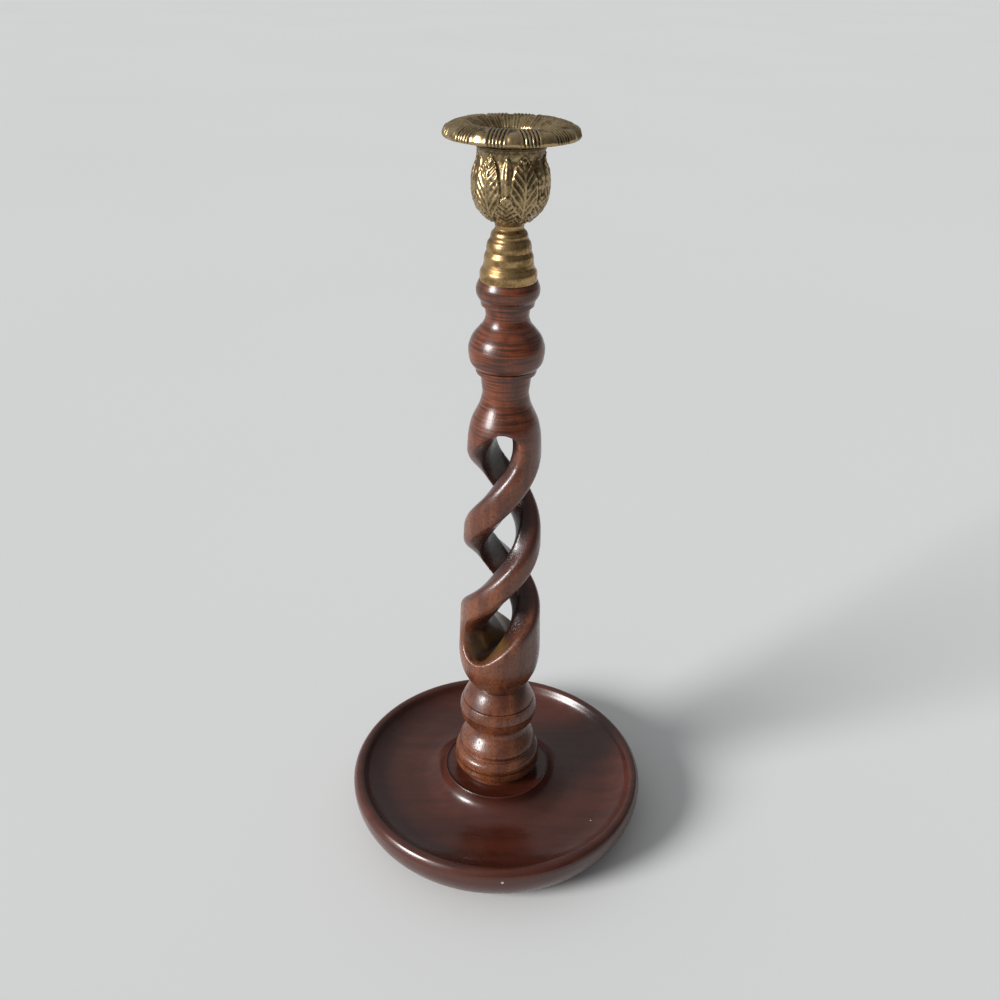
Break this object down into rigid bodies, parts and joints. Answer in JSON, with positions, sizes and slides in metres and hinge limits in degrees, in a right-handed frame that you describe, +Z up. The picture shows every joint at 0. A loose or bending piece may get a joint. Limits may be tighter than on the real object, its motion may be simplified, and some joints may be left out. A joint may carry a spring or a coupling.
{
  "type": "candlestick",
  "caption": "Open barley twist candlestick: turned wooden dish base and stem, a cast brass candle cup, and a lift-out brass nozzle with a leaf-edged drip pan.",
  "frame": {"origin": "middle of the underside, where the base meets the table", "axes": "+Z up along the stem, the pictured side towards -Y, +X to its right"},
  "size_m": [0.1528, 0.1528, 0.3552],
  "materials": {
    "dish_wood": "polished",
    "stem_wood": "polished",
    "turned_brass": "aged",
    "cast_brass": "aged",
    "pan_brass": "aged",
    "nozzle_brass": "aged",
    "steel": "plain"
  },
  "bodies": {
    "candlestick": {"dish_base": "dish_wood", "base_screw": "steel", "twist_stem": "stem_wood", "ferrule": "turned_brass", "candle_cup": "cast_brass", "cup_washer": "steel", "cup_screw": "steel"},
    "nozzle": {"nozzle_tube": "nozzle_brass", "drip_pan": "pan_brass"}
  },
  "joints": [
    {"name": "nozzle_lift", "type": "slide", "parent": "candlestick", "child": "nozzle", "axis": [0, 0, 1], "range_m": [0, 0.022]}
  ]
}
